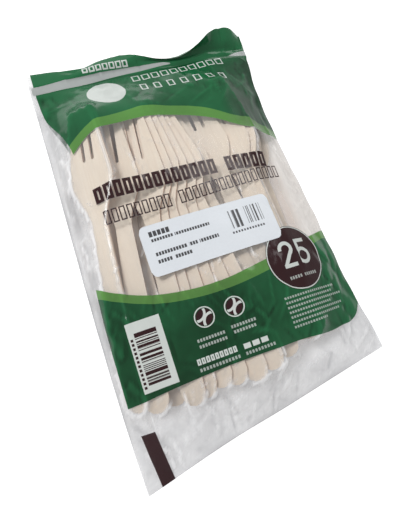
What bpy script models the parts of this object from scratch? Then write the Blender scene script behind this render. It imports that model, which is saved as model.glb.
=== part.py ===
# Clear film bag with a printed header, holding twenty-five flat wooden forks, lying on its back
# Metres, +Z up. +Y runs from the handle ends to the tines and the header, and the bag rests on z = 0
import math

import bpy
import numpy as np
from mathutils import Matrix
from mathutils import Vector
from mathutils.bvhtree import BVHTree

MM = 0.001

# One fork, punched from birch veneer and pressed to a shallow arch
FORK_LENGTH = 165 * MM
FORK_THICKNESS = 1.3 * MM
HEAD_WIDTH = 26 * MM
TIP_SPAN = 14 * MM
WAIST_WIDTH = 8.8 * MM
HANDLE_WIDTH = 12.5 * MM
TINE_LENGTH = 31.5 * MM
SHOULDER_LENGTH = 11 * MM
NECK_LENGTH = 27 * MM
SLOT_COUNT = 2
SLOT_PITCH = 5.4 * MM
SLOT_WIDTH = 1.8 * MM
SLOT_MOUTH = 2.8 * MM
ARCH_RISE = 2.6 * MM
HANDLE_TAPER = 1.5
HEAD_TAPER = 1.15

# The pile, as two rows of forks that lean on each other, with one more rolled down at the left.
# Each row fills the bag's width between a space at the left and one at the right
BAG_WIDTH = 150 * MM
FORK_GAP = 0.35 * MM
LOWER_COUNT = 12
LOWER_SPACE = (12.5 * MM, 16.9 * MM)
LOWER_PUSH_RIGHT = 8 * MM
LOWER_TURN = -3.0
UPPER_SPACE = (19.5 * MM, 24.9 * MM)
ROLLED_SPACE = 9 * MM
ROLLED_LEAN = math.radians(30)
ROLLED_PUSH = 3.5 * MM
ROLLED_TURN = -6.5
PUSH_STEP = 2 * MM

# Each upper fork: its share of the row up to the next one, push along its length in steps, and turn
# in degrees
UPPER_ROW = (
    (3.3, 0.0, -7.0),
    (1.0, -1.3, -5.6),
    (1.0, -0.5, -4.6),
    (1.0, 0.6, -2.4),
    (1.0, 0.0, -0.8),
    (1.0, -0.8, 2.0),
    (1.0, 0.2, 4.5),
    (3.4, 1.2, 7.5),
    (2.8, 5.0, 3.0),
    (1.0, 4.0, 1.0),
    (1.0, 4.5, 0.0),
    (0.0, 4.0, -1.0),
)

# The bag
FILM_WALL = 0.3 * MM
FILM_CLEARANCE = 0.35 * MM
FILM_SLIT = 0.4 * MM
SIDE_SEAM = 3 * MM
END_SEAL = 6 * MM
TIP_SLACK = 21.9 * MM
HEADER_HEIGHT = 11.5 * MM
LEFT_END = 31.3 * MM
RIGHT_END = 10.2 * MM

# The right edge is drawn in at two places, and the header's edge reaches up at two others
TUCK_UPPER = (7.5 * MM, 60 * MM, 50 * MM)
TUCK_LOWER = (4 * MM, -50 * MM, 45 * MM)
TUCK_STEP = 0.05 * MM
LIP_REACH = 5.5 * MM
LIP_LIFT = 8 * MM
LIP_AT = -22 * MM
LIP_HALF = 26 * MM
CORNER_REACH = 4.5 * MM
CORNER_LIFT = 14 * MM
CORNER_AT = 52 * MM
CORNER_HALF = 27 * MM

# The paper sticker on the front
LABEL_WIDTH = 73 * MM
LABEL_HEIGHT = 27.5 * MM
LABEL_RADIUS = 3.5 * MM
LABEL_PAPER = 0.2 * MM
LABEL_GAP = 0.3 * MM
LABEL_AT = (-3.5 * MM, -13.5 * MM)

# How finely the curved forms are cut. The tips of the tines narrow to a share of their width
HANDLE_END_ANGLES = (24, 50, 90)
STEM_ROWS = 6
TINE_ROWS = ((0.4, 1.0), (0.8, 1.0), (0.95, 0.8), (1.0, 0.36))
LABEL_CORNER_ANGLES = (90, 65, 35)
LABEL_CUTS = (13, 7)
COLUMNS = 28
END_ROWS = 4
PILE_ROWS = 21
SHOULDER_ROWS = 2
HEADER_ROWS = 4
RELAX_ROUNDS = 300
UNTUCK_ROUNDS = 6
SAMPLE_STEP = 2.5 * MM

WIDEST_AT = FORK_LENGTH - TINE_LENGTH - SHOULDER_LENGTH
WAIST_AT = WIDEST_AT - NECK_LENGTH
SLOTS_AT = FORK_LENGTH - TINE_LENGTH
FLOOR = FILM_WALL + FILM_CLEARANCE


def clear_scene():
    for old in list(bpy.data.objects):
        bpy.data.objects.remove(old)


def material(name, colour, roughness, alpha=1.0):
    made = bpy.data.materials.new(name)
    made.use_nodes = True
    shader = made.node_tree.nodes["Principled BSDF"]
    shader.inputs["Base Color"].default_value = (*colour, 1.0)
    shader.inputs["Roughness"].default_value = roughness
    shader.inputs["Metallic"].default_value = 0.0
    shader.inputs["Alpha"].default_value = alpha
    return made


def add_object(name, mesh, place=None):
    made = bpy.data.objects.new(name, mesh)
    if place is not None:
        made.location = place.to_translation()
        made.rotation_euler = place.to_euler()
    bpy.context.scene.collection.objects.link(made)
    return made


def ease(t):
    t = np.clip(t, 0.0, 1.0)
    return t * t * (3 - 2 * t)


def bump(t):
    return np.cos(math.pi / 2 * np.minimum(np.abs(t), 1.0)) ** 2


# Fork outline, as half its width at a distance from the handle end
def half_width(along):
    end_radius = HANDLE_WIDTH / 2
    if along < end_radius:
        return math.sqrt(max(end_radius**2 - (end_radius - along) ** 2, 0.0))
    if along < WAIST_AT:
        share = (along - end_radius) / (WAIST_AT - end_radius)
        return (HANDLE_WIDTH + (WAIST_WIDTH - HANDLE_WIDTH) * share**HANDLE_TAPER) / 2
    if along < WIDEST_AT:
        share = ease((along - WAIST_AT) / NECK_LENGTH)
        return (WAIST_WIDTH + (HEAD_WIDTH - WAIST_WIDTH) * share) / 2
    share = (along - WIDEST_AT) / (FORK_LENGTH - WIDEST_AT)
    return (HEAD_WIDTH + (TIP_SPAN - HEAD_WIDTH) * share**HEAD_TAPER) / 2


def arch(along):
    middle = FORK_LENGTH / 2
    return -ARCH_RISE * ((along - middle) / middle) ** 2


def stem_rows():
    end_radius = HANDLE_WIDTH / 2
    rounded = [end_radius * (1 - math.cos(math.radians(a))) for a in HANDLE_END_ANGLES]
    handle = np.linspace(end_radius, WAIST_AT, STEM_ROWS + 1)[1:]
    neck = np.linspace(WAIST_AT, WIDEST_AT, STEM_ROWS + 1)[1:]
    return [*rounded, *handle, *neck, WIDEST_AT + SHOULDER_LENGTH / 2]


# Edges of the tines at a row: outer edge, then both sides of each slot, then the other outer edge
def tine_edges(along):
    share = max(along - SLOTS_AT, 0.0) / TINE_LENGTH
    slot_half = (SLOT_WIDTH + (SLOT_MOUTH - SLOT_WIDTH) * share) / 2
    centres = [(i - (SLOT_COUNT - 1) / 2) * SLOT_PITCH for i in range(SLOT_COUNT)]
    sides = [c + side * slot_half for c in centres for side in (-1, 1)]
    outer = half_width(along)
    return [-outer, *sides, outer]


# Flat pattern of the fork: its points, from the widest place of the head, and its faces
def fork_pattern():
    points = []
    faces = []

    def add(across, along):
        points.append((across, along - WIDEST_AT, arch(along)))
        return len(points) - 1

    tip = add(0.0, 0.0)
    last = None
    for along in stem_rows():
        row = [add(-half_width(along), along), add(half_width(along), along)]
        faces.append([tip, row[1], row[0]] if last is None else [last[0], last[1], row[1], row[0]])
        last = row
    below = SLOTS_AT - SHOULDER_LENGTH / 4
    under = [add(x, below) for x in tine_edges(below)]
    faces.append([last[0], last[1], *reversed(under)])
    row = [add(x, SLOTS_AT) for x in tine_edges(SLOTS_AT)]
    for i in range(len(row) - 1):
        ring = [under[i], under[i + 1], row[i + 1]]
        if i % 2:
            centre = (points[row[i]][0] + points[row[i + 1]][0]) / 2
            ring.append(add(centre, SLOTS_AT - SLOT_WIDTH / 2))
        faces.append([*ring, row[i]])
    for tine in range(SLOT_COUNT + 1):
        faces.extend(tine_faces(add, row[2 * tine], row[2 * tine + 1], tine))
    return points, faces


def tine_faces(add, left, right, tine):
    faces = []
    for share, keep in TINE_ROWS:
        along = SLOTS_AT + TINE_LENGTH * share
        edges = tine_edges(along)
        a, b = edges[2 * tine], edges[2 * tine + 1]
        middle, half = (a + b) / 2, (b - a) / 2 * keep
        new_left, new_right = add(middle - half, along), add(middle + half, along)
        faces.append([left, right, new_right, new_left])
        left, right = new_left, new_right
    return faces


def fork_mesh(pattern, wood):
    mesh = bpy.data.meshes.new("fork")
    mesh.from_pydata(pattern[0], [], pattern[1])
    mesh.materials.append(wood)
    return mesh


def add_fork(number, mesh, place):
    made = add_object(f"fork_{number:02d}", mesh, place)
    solid = made.modifiers.new("Thickness", "SOLIDIFY")
    solid.thickness = FORK_THICKNESS
    solid.offset = 0.0
    solid.use_even_offset = True
    return made


# The cut through a head at its widest place, from the left edge, which is down, to the right one
def head_section(left, lean):
    return np.array([[left, 0.0], [left + HEAD_WIDTH * math.cos(lean), HEAD_WIDTH * math.sin(lean)]])


# Where a fork lies: the left edge of its head, its push along Y, its lean and its turn in its own plane
def fork_place(left, push, lean, turn):
    across, height = head_section(left, lean).mean(0)
    tilt = Matrix.Rotation(-lean, 4, "Y") @ Matrix.Rotation(math.radians(turn), 4, "Z")
    return Matrix.Translation((across, push, height)) @ tilt


def distance_to(point, section):
    along = section[1] - section[0]
    share = np.clip((point - section[0]) @ along / (along @ along), 0.0, 1.0)
    return np.linalg.norm(point - section[0] - share * along)


def section_gap(one, other):
    return min(
        *(distance_to(p, other) for p in one),
        *(distance_to(p, one) for p in other),
    )


# Whether one section stays above another wherever both reach
def lies_over(section, other):
    shared = [max(section[0, 0], other[0, 0]), min(section[1, 0], other[1, 0])]
    if shared[1] <= shared[0]:
        return True
    heights = [np.interp(shared, s[:, 0], s[:, 1]) for s in (section, other)]
    return bool((heights[0] > heights[1]).all())


def clears(section, others):
    apart = FORK_THICKNESS + FORK_GAP
    return all(lies_over(section, o) and section_gap(section, o) >= apart for o in others)


# The least lean at which a fork rests on the forks to its right
def resting_lean(left, others):
    low, high = 0.0, math.radians(90)
    if clears(head_section(left, low), others):
        return low
    for _ in range(40):
        lean = (low + high) / 2
        if clears(head_section(left, lean), others):
            high = lean
        else:
            low = lean
    return high


def row_leans(lefts):
    leans = []
    sections = []
    for left in reversed(lefts):
        lean = resting_lean(left, sections)
        leans.insert(0, lean)
        sections.append(head_section(left, lean))
    return leans


# The left edges of the heads of a row, which are the edges that are down
def left_edges(space, shares):
    first = space[0] - BAG_WIDTH / 2
    last = BAG_WIDTH / 2 - space[1] - HEAD_WIDTH
    return list(first + (last - first) * np.cumsum([0.0, *shares]) / sum(shares))


def lower_row():
    lefts = left_edges(LOWER_SPACE, [1.0] * (LOWER_COUNT - 1))
    pushes = [LOWER_PUSH_RIGHT * ease(i / (LOWER_COUNT - 1)) for i in range(LOWER_COUNT)]
    return [fork_place(*at, LOWER_TURN) for at in zip(lefts, pushes, row_leans(lefts))]


def upper_row():
    shares, steps, turns = zip(*UPPER_ROW)
    lefts = left_edges(UPPER_SPACE, shares[:-1])
    pushes = [PUSH_STEP * s for s in steps]
    return [fork_place(*at) for at in zip(lefts, pushes, row_leans(lefts), turns)]


def rolled_fork():
    return [fork_place(ROLLED_SPACE - BAG_WIDTH / 2, ROLLED_PUSH, ROLLED_LEAN, ROLLED_TURN)]


# Both faces of some forks, in world space
def faces_of(places, pattern):
    flat = np.array(pattern[0])
    points = []
    faces = []
    for place in places:
        turn = np.array(place.to_3x3())
        for side in (-1, 1):
            start = sum(len(p) for p in points)
            moved = (flat + [0, 0, side * FORK_THICKNESS / 2]) @ turn.T + np.array(place.translation)
            points.append(moved)
            faces.extend([[start + i for i in face] for face in pattern[1]])
    return np.concatenate(points), faces


# Points along every edge and in the middle of every face
def samples_of(points, faces):
    out = [points]
    out.append(np.array([points[face].mean(0) for face in faces]))
    for face in faces:
        for a, b in zip(face, face[1:] + face[:1]):
            steps = max(int(np.linalg.norm(points[b] - points[a]) / SAMPLE_STEP), 1)
            share = (np.arange(steps) / steps)[:, None]
            out.append(points[a] * (1 - share) + points[b] * share)
    return np.concatenate(out)


def room_between(upper, lower):
    trees = [BVHTree.FromPolygons([Vector(p) for p in s[0]], s[1]) for s in (upper, lower)]
    room = math.inf
    for points, tree, down in ((samples_of(*upper), trees[1], -1), (samples_of(*lower), trees[0], 1)):
        for point in points:
            hit = tree.ray_cast(Vector(point), Vector((0, 0, down)))
            if hit[0] is not None:
                room = min(room, hit[3])
    return room


# Lowers a fork from above until it is just clear of the film and of the forks that already lie there
def settled(place, below, pattern):
    held = Matrix.Translation((0, 0, 1)) @ place
    fork = faces_of([held], pattern)
    drop = fork[0][:, 2].min() - FLOOR
    if below:
        upright_gap = FORK_GAP / place.to_3x3()[2][2]
        drop = min(drop, room_between(fork, faces_of(below, pattern)) - upright_gap)
    return Matrix.Translation((0, 0, -drop)) @ held


def fork_pile(pattern):
    pile = []
    for place in [*lower_row()[::-1], *upper_row()[::-1], *rolled_fork()]:
        pile.append(settled(place, pile, pattern))
    return pile


# Heights of the header above its weld, for the front and the back of the bag
def header_lift(x, share):
    corner = CORNER_LIFT * bump((x - CORNER_AT) / CORNER_HALF) * ease(share)
    lip = LIP_LIFT * bump((x - LIP_AT) / LIP_HALF) * ease(share)
    return corner + lip, corner


# How far the header reaches up past its weld
def header_reach(x):
    corner = CORNER_REACH * bump((x - CORNER_AT) / CORNER_HALF)
    lip = LIP_REACH * bump((x - LIP_AT) / LIP_HALF)
    return HEADER_HEIGHT + corner + lip


# How far a point of the film moves left as the right edge is drawn in, by its distance from the middle.
# It moves in small steps, so that a point moves clearly or stays on its line
def tuck(x, along):
    depth = sum(d * bump((along - at) / half) for d, at, half in (TUCK_UPPER, TUCK_LOWER))
    return np.round(depth * ease(x / BAG_WIDTH + 0.5) / TUCK_STEP) * TUCK_STEP


# Where points were before the film was drawn in
def untucked(x, along):
    before = x
    for _ in range(UNTUCK_ROUNDS):
        before = x + tuck(before, along)
    return before


# Places of the film's grid of points, rows from the bottom cut to the header's edge
def film_grid(pile_low, pile_high):
    inner = BAG_WIDTH / 2 - SIDE_SEAM
    x = np.concatenate([[-BAG_WIDTH / 2], np.linspace(-inner, inner, COLUMNS - 1), [BAG_WIDTH / 2]])
    across = (x + BAG_WIDTH / 2) / BAG_WIDTH
    cut = pile_low - LEFT_END + (LEFT_END - RIGHT_END) * across
    weld = pile_high + TIP_SLACK
    top = weld + header_reach(x)
    rows = [cut]
    for share in np.linspace(0, 1, END_ROWS + 1)[:-1]:
        rows.append((cut + END_SEAL) * (1 - share) + pile_low * share)
    rows += [np.full_like(x, y) for y in np.linspace(pile_low, pile_high, PILE_ROWS)]
    rows += [np.full_like(x, y) for y in np.linspace(pile_high, weld, SHOULDER_ROWS + 1)[1:]]
    rows += [weld + (top - weld) * share for share in np.linspace(0, 1, HEADER_ROWS + 1)[1:]]
    return np.tile(x, (len(rows), 1)), np.array(rows)


# Which triangle of the grid each point is over, as three node numbers and their weights
def over_grid(x, y, points):
    column = np.clip(np.searchsorted(x[0], points[:, 0]) - 1, 0, x.shape[1] - 2)
    a = (points[:, 0] - x[0, column]) / (x[0, column + 1] - x[0, column])
    lines = y[:, column] * (1 - a) + y[:, column + 1] * a
    row = np.clip((lines <= points[:, 1]).sum(0) - 1, 0, y.shape[0] - 2)
    each = np.arange(len(points))
    b = (points[:, 1] - lines[row, each]) / (lines[row + 1, each] - lines[row, each])
    first = row * x.shape[1] + column
    beyond = first + x.shape[1] + 1
    third = np.where(a >= b, first + 1, first + x.shape[1])
    weights = np.stack([1 - np.maximum(a, b), np.minimum(a, b), np.abs(a - b)], 1)
    return np.stack([first, beyond, third], 1), weights


# Draws the film tight over the forks: it averages the heights, then lifts what a fork would pierce
def drawn_tight(x, y, height, free, points):
    nodes, weights = over_grid(x, y, points)
    wanted = points[:, 2] + FILM_CLEARANCE + FILM_WALL
    along = 1 / np.gradient(y, axis=0) ** 2
    across = 1 / np.gradient(x, axis=1) ** 2
    for _ in range(RELAX_ROUNDS):
        mean = height.copy()
        rows = height[:-2, 1:-1] + height[2:, 1:-1]
        columns = height[1:-1, :-2] + height[1:-1, 2:]
        v, h = along[1:-1, 1:-1], across[1:-1, 1:-1]
        mean[1:-1, 1:-1] = (v * rows + h * columns) / (2 * v + 2 * h)
        height = np.where(free, mean, height)
        short = wanted - (height.ravel()[nodes] * weights).sum(1)
        lift = np.zeros(height.size)
        np.maximum.at(lift, nodes.ravel(), np.repeat(np.maximum(short, 0.0), 3))
        height = height + lift.reshape(height.shape)
    return height


def film_surfaces(pile, pattern):
    points = samples_of(*faces_of(pile, pattern))
    x, y = film_grid(points[:, 1].min(), points[:, 1].max())
    middle = (y.min() + y.max()) / 2
    points[:, 0] = untucked(points[:, 0], points[:, 1] - middle)
    weld = y[-1 - HEADER_ROWS, 0]
    lifts = header_lift(x, (y - weld) / header_reach(x))
    front = 2 * FILM_WALL + FILM_SLIT + lifts[0]
    free = np.zeros(x.shape, bool)
    free[2 : -1 - HEADER_ROWS, 2:-2] = True
    front = drawn_tight(x, y, front, free, points)
    y = y - middle
    return x - tuck(x, y), y, front, lifts[1], middle


# Triangles of a grid whose point numbers are in rows, all with the same diagonal
def grid_faces(numbers, upwards):
    faces = []
    for r in range(numbers.shape[0] - 1):
        for k in range(numbers.shape[1] - 1):
            a, b = numbers[r, k], numbers[r, k + 1]
            c, d = numbers[r + 1, k + 1], numbers[r + 1, k]
            faces += [[a, b, c], [a, c, d]] if upwards else [[a, c, b], [a, d, c]]
    return faces


def wall_faces(top, bottom):
    return [[top[i], bottom[i], bottom[i + 1], top[i + 1]] for i in range(len(top) - 1)]


# The bag as one skin: outside, inside, and the rim of its mouth at the header's edge
def film_bag_mesh(x, y, front, back):
    layers = [front, back, front - FILM_WALL, back + FILM_WALL]
    points = np.concatenate([np.stack([x, y, z], -1).reshape(-1, 3) for z in layers])
    numbers = np.arange(4 * x.size).reshape(4, *x.shape)
    outer_front, outer_back = numbers[0], numbers[1]
    inner_front, inner_back = numbers[2][1:, 1:-1], numbers[3][1:, 1:-1]
    faces = grid_faces(outer_front, True) + grid_faces(outer_back, False)
    faces += grid_faces(inner_front, False) + grid_faces(inner_back, True)
    faces += wall_faces(outer_front[::-1, 0], outer_back[::-1, 0])
    faces += wall_faces(outer_front[:, -1], outer_back[:, -1])
    faces += wall_faces(outer_front[0], outer_back[0])
    faces += wall_faces(inner_front[:, 0], inner_back[:, 0])
    faces += wall_faces(inner_front[::-1, -1], inner_back[::-1, -1])
    faces += wall_faces(inner_front[0, ::-1], inner_back[0, ::-1])
    faces += wall_faces(outer_front[-1, -2:0:-1], inner_front[-1, ::-1])
    faces += wall_faces(inner_back[-1, ::-1], outer_back[-1, -2:0:-1])
    for edge, step in ((0, 1), (-1, -2)):
        ends = [outer_front[-1, edge], outer_front[-1, step], inner_front[-1, edge]]
        ends += [inner_back[-1, edge], outer_back[-1, step], outer_back[-1, edge]]
        faces.append(ends if edge == 0 else ends[::-1])
    return used_points(points, faces)


def used_points(points, faces):
    used = sorted({i for face in faces for i in face})
    new = {old: i for i, old in enumerate(used)}
    return points[used].tolist(), [[new[i] for i in face] for face in faces]


def mesh_object(name, points, faces, finish):
    mesh = bpy.data.meshes.new(name)
    mesh.from_pydata(points, [], faces)
    mesh.materials.append(finish)
    mesh.shade_smooth()
    mesh.set_sharp_from_angle(angle=math.radians(50))
    return add_object(name, mesh)


# Rounded outline of the sticker, as its half height at a distance from its middle
def label_half_height(across):
    inset = max(abs(across) - (LABEL_WIDTH / 2 - LABEL_RADIUS), 0.0)
    return LABEL_HEIGHT / 2 - LABEL_RADIUS + math.sqrt(max(LABEL_RADIUS**2 - inset**2, 0.0))


def label_columns():
    straight = LABEL_WIDTH / 2 - LABEL_RADIUS
    corner = [straight + LABEL_RADIUS * math.sin(math.radians(a)) for a in LABEL_CORNER_ANGLES]
    middle = np.linspace(-straight, straight, LABEL_CUTS[0])
    return np.array([*(-c for c in corner), *middle, *reversed(corner)])


def film_height(tree, x, y):
    hit = tree.ray_cast(Vector((x, y, 1.0)), Vector((0, 0, -1)))
    return hit[0].z


def label_mesh(tree):
    columns = label_columns()
    rows = np.linspace(-1, 1, LABEL_CUTS[1])
    reach_x = np.gradient(columns).max() / 2
    reach_y = LABEL_HEIGHT / (len(rows) - 1) / 2
    sheet = []
    for v in rows:
        for across in columns:
            x, y = LABEL_AT[0] + across, LABEL_AT[1] + v * label_half_height(across)
            near = [(x + i * reach_x, y + j * reach_y) for i in (-1, 0, 1) for j in (-1, 0, 1)]
            sheet.append((x, y, max(film_height(tree, *at) for at in near) + LABEL_GAP))
    sheet = np.array(sheet)
    points = np.concatenate([sheet + [0, 0, LABEL_PAPER], sheet])
    numbers = np.arange(len(points)).reshape(2, len(rows), len(columns))
    top, under = numbers
    faces = grid_faces(top, True) + grid_faces(under, False)
    faces += wall_faces(top[::-1, 0], under[::-1, 0]) + wall_faces(top[:, -1], under[:, -1])
    faces += wall_faces(top[0], under[0]) + wall_faces(top[-1, ::-1], under[-1, ::-1])
    return points.tolist(), faces


def build():
    clear_scene()
    wood = material("birch_veneer", (0.72, 0.6, 0.46), 0.62)
    film = material("clear_film", (0.88, 0.9, 0.9), 0.12, 0.3)
    paper = material("sticker_paper", (0.84, 0.86, 0.89), 0.5)
    pattern = fork_pattern()
    pile = fork_pile(pattern)
    x, y, front, back, middle = film_surfaces(pile, pattern)
    mesh = fork_mesh(pattern, wood)
    for number, place in enumerate(pile, 1):
        add_fork(number, mesh, Matrix.Translation((0, -middle, 0)) @ place)
    mesh_object("film_bag", *film_bag_mesh(x, y, front, back), film)
    skin = np.stack([x, y, front], -1).reshape(-1, 3)
    faces = grid_faces(np.arange(x.size).reshape(x.shape), True)
    tree = BVHTree.FromPolygons([Vector(p) for p in skin], faces)
    mesh_object("label_sticker", *label_mesh(tree), paper)


build()
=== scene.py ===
import math
from collections import namedtuple

import bpy
import numpy as np
from mathutils import Matrix
from mathutils import Vector
from mathutils.bvhtree import BVHTree


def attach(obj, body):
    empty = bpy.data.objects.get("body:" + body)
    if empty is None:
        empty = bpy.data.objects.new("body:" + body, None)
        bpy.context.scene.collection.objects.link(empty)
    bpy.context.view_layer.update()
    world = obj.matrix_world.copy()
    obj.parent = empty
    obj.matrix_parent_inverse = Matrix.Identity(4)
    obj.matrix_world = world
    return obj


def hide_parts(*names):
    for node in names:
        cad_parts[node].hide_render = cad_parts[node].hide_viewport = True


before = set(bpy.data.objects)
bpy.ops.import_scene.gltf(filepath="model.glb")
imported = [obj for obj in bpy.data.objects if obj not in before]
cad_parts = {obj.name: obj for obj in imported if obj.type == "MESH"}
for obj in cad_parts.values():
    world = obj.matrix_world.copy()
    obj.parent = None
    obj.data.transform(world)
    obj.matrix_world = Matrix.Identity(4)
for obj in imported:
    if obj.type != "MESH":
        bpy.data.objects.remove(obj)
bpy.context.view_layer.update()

MM = 0.001


# A smooth curve through knots, level beyond its ends
def curve(*knots):
    xs, ys = np.array(knots, float).T
    slopes = np.gradient(ys, xs)

    def at(x):
        x = np.clip(x, xs[0], xs[-1])
        i = np.clip(np.searchsorted(xs, x, "right") - 1, 0, len(xs) - 2)
        span = xs[i + 1] - xs[i]
        t = (x - xs[i]) / span
        start, end = ys[i], ys[i + 1]
        return (
            start * (1 + 2 * t) * (1 - t) ** 2
            + end * t**2 * (3 - 2 * t)
            + span * (slopes[i] * t * (1 - t) ** 2 - slopes[i + 1] * t**2 * (1 - t))
        )

    return at


def ease(t):
    t = np.clip(t, 0.0, 1.0)
    return t * t * (3 - 2 * t)


# One inside a stretch and zero outside it, with soft ends
def within(x, low, high, soft):
    return ease((x - low) / soft + 0.5) * ease((high - x) / soft + 0.5)


# Where the film's edges and printed fields lie, in mm, seen from above
LEFT_EDGE = curve((-124, -72.4), (-100, -73.5), (-40, -74.6), (20, -74.4), (70, -74.2), (107, -74.4))
RIGHT_EDGE = curve(
    (-102, 75), (-88, 74), (-71, 71.8), (-40, 70.2), (-9, 69.4), (44, 67), (78, 67.4), (107, 71)
)
BOTTOM_EDGE = curve((-73, -123.4), (-21.5, -114.7), (3, -111.8), (36, -107.3), (75, -101.9))
STRIP_LOW = curve((-73, 106.6), (-50, 107.0), (-25, 108.4), (0, 109.4), (40, 109.0), (75, 107.5))
STRIP_HEIGHT = 5.0
# The strip without ink: its lower edge and its height
BARE_LOW = curve(
    (-73, 106.3), (-50, 107.2), (-38, 108.2), (-25, 109.2), (-11, 110.7), (2, 111.4), (14, 112), (75, 108)
)
BARE_HEIGHT = curve(
    (-73, 5.6), (-50, 6.2), (-25, 5.4), (-11, 4.4), (2, 3.4),
    (14, 1.6), (22, -1), (54, -1), (62, 2), (72, 4.6),
)
TOP_LIME_UPPER = curve(
    (-72, 50), (-60.3, 60.1), (-52, 64.7), (-39.2, 68.3), (-22.6, 72),
    (-1.8, 70.5), (21, 63.6), (38.7, 52), (50, 48.2), (68, 47),
)
TOP_LIME_LOWER = curve(
    (-72, 43), (-60.3, 53.3), (-52, 58.8), (-36.8, 62.4), (-19.1, 64.4),
    (3.3, 61.9), (23.3, 54.7), (41.2, 43.4), (52.5, 41.2), (66, 41),
)
LOW_LIME_UPPER = curve(
    (-74, -18), (-64.4, -25.5), (-49.1, -33.1), (-29.5, -37.6), (-7.2, -38.8), (17.5, -35.7), (68, -26.2)
)
LOW_LIME_LOWER = curve(
    (-74, -24), (-63, -31.2), (-45.7, -38.8), (-26, -42.8), (-4.5, -43.8), (24, -40.6), (66, -31.2)
)
LOW_BAND_END = curve(
    (-72, -82.8), (-43.7, -80.9), (-12, -79.9), (22, -80.8), (50.6, -82.4), (67, -79), (72, -74)
)
PRINT_LEFT = curve(
    (-83, -70.2), (-28, -69.5), (10, -66), (40, -61), (55, -60.5), (68, -63.5), (86, -69.9), (104, -71.6)
)
PRINT_RIGHT = curve((-80, 69), (-76, 70.5), (-71, 76), (-60, 80))

# The film's grid, and how near its sheets come to the wood, the table and each other
COLUMNS = 124
BODY_ROWS = 184
STRIP_ROWS = 6
FLAP_ROWS = 16
ROUGH_LEFT = -73
ROUGH_WIDTH = 147
WOOD_GAP = 0.3
TABLE_GAP = 0.4
BACK_HEIGHT = 0.12
BOTTOM_HEIGHT = 0.5
START_HEIGHT = 24.0
RAY_START = 60.0
RELAX_ROUNDS = 3500
# Near its side edges and the weld, the back sheet rises to meet the front
SIDE_REACH = 6
SIDE_RISE = 0.9
WELD_RISE_FROM = 98
WELD_RISE_OVER = 9
DOWN = Vector((0, 0, -1))


def fork_tree():
    points, faces = [], []
    for name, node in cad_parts.items():
        if name.startswith("fork"):
            start = len(points)
            points += [v.co / MM for v in node.data.vertices]
            faces += [[start + i for i in p.vertices] for p in node.data.polygons]
    return BVHTree.FromPolygons(points, faces)


# The heights that rays from above meet, and a stand-in where they meet nothing
def heights_over(tree, x, y, missing):
    out = np.empty(x.shape)
    for at in np.ndindex(x.shape):
        hit = tree.ray_cast(Vector((x[at], y[at], RAY_START)), DOWN)[0]
        out[at] = missing if hit is None else hit.z
    return out


def finer(grid):
    rows = np.empty((2 * grid.shape[0] - 1, grid.shape[1]))
    rows[::2] = grid
    rows[1::2] = (grid[:-1] + grid[1:]) / 2
    out = np.empty((rows.shape[0], 2 * rows.shape[1] - 1))
    out[:, ::2] = rows
    out[:, 1::2] = (rows[:, :-1] + rows[:, 1:]) / 2
    return out


def widened(grid):
    padded = np.pad(grid, 1, mode="edge")
    shifts = [padded[i : i + grid.shape[0], j : j + grid.shape[1]] for i in range(3) for j in range(3)]
    return np.max(shifts, axis=0)


def smoothed(z, rounds):
    for _ in range(rounds):
        p = np.pad(z, 1, mode="edge")
        z = (p[:-2, 1:-1] + p[2:, 1:-1] + p[1:-1, :-2] + p[1:-1, 2:] + 4 * z) / 8
    return z


def body_plan():
    u = np.linspace(0, 1, COLUMNS + 1)
    v = np.linspace(0, 1, BODY_ROWS + 1)[:, None]
    rough = ROUGH_LEFT + ROUGH_WIDTH * u
    bottom, top = BOTTOM_EDGE(rough), STRIP_LOW(rough)
    y = bottom + (top - bottom) * v
    left, right = LEFT_EDGE(y), RIGHT_EDGE(y)
    return left + (right - left) * u, y


# A batch of sharp little folds: its seed and count, the box it lies in, the mean angle and its spread
# in degrees, and the ranges of length, width and height
Folds = namedtuple("Folds", "seed count box angle spread length width height")
END_FOLDS = Folds(3, 70, (-70, 72, -118, -88), 80, 40, (10, 30), (0.8, 2.2), (0.3, 1.3))
PUCKERS = Folds(5, 60, (-70, 68, 80, 103), 92, 16, (14, 40), (0.9, 2.4), (0.15, 0.6))
CROSS_PUCKERS = Folds(6, 16, (-70, 68, 72, 98), 20, 25, (14, 36), (1.0, 2.0), (0.15, 0.5))
LEFT_FOLDS = Folds(7, 40, (-74, -60, -90, 60), 96, 22, (12, 40), (0.8, 1.8), (0.2, 0.8))
RIGHT_FOLDS = Folds(8, 46, (52, 75, -90, 90), 86, 22, (12, 40), (0.8, 2.0), (0.2, 0.9))
PILE_FOLDS = Folds(9, 90, (-60, 60, -85, 70), 95, 30, (8, 34), (0.6, 1.3), (0.1, 0.5))
HANDLE_FOLDS = Folds(10, 70, (-66, 66, -84, -30), 100, 26, (12, 40), (0.8, 1.7), (0.2, 0.7))
LIP_FOLDS = Folds(21, 34, (-70, 66, 106, 124), 84, 20, (8, 24), (0.9, 2.2), (0.2, 0.8))
FOLD_BEND = 0.006

# A batch of facets: its seed and count, the range of their size, and their height
Facets = namedtuple("Facets", "seed count size height")
LOOSE_FACETS = Facets(11, 7, (11, 28), 0.55)
TOP_FACETS = Facets(12, 5, (14, 30), 0.22)
PILE_FACETS = Facets(14, 3, (16, 34), 0.16)
LIP_FACETS = Facets(22, 5, (14, 30), 0.3)
FACET_SWAY = (9, 22)
FACET_BEND = 0.18

# Stretches of the film, each from a low to a high end with a soft border
AIR_ACROSS, AIR_ALONG = (50, 90, 8), (-95, 70, 20)
AIR_LIFT = 0.004
END_FOLDS_ALONG = (-125, -80, 12)
LOOSE_ALONG = (-130, -84, 10)
LOOSE_LEFT, LOOSE_RIGHT = (-90, -64, 8), (58, 90, 8)
TOP_ALONG = (72, 120, 10)
WELD_LIFT_ACROSS = (30, 66, 30)


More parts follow.
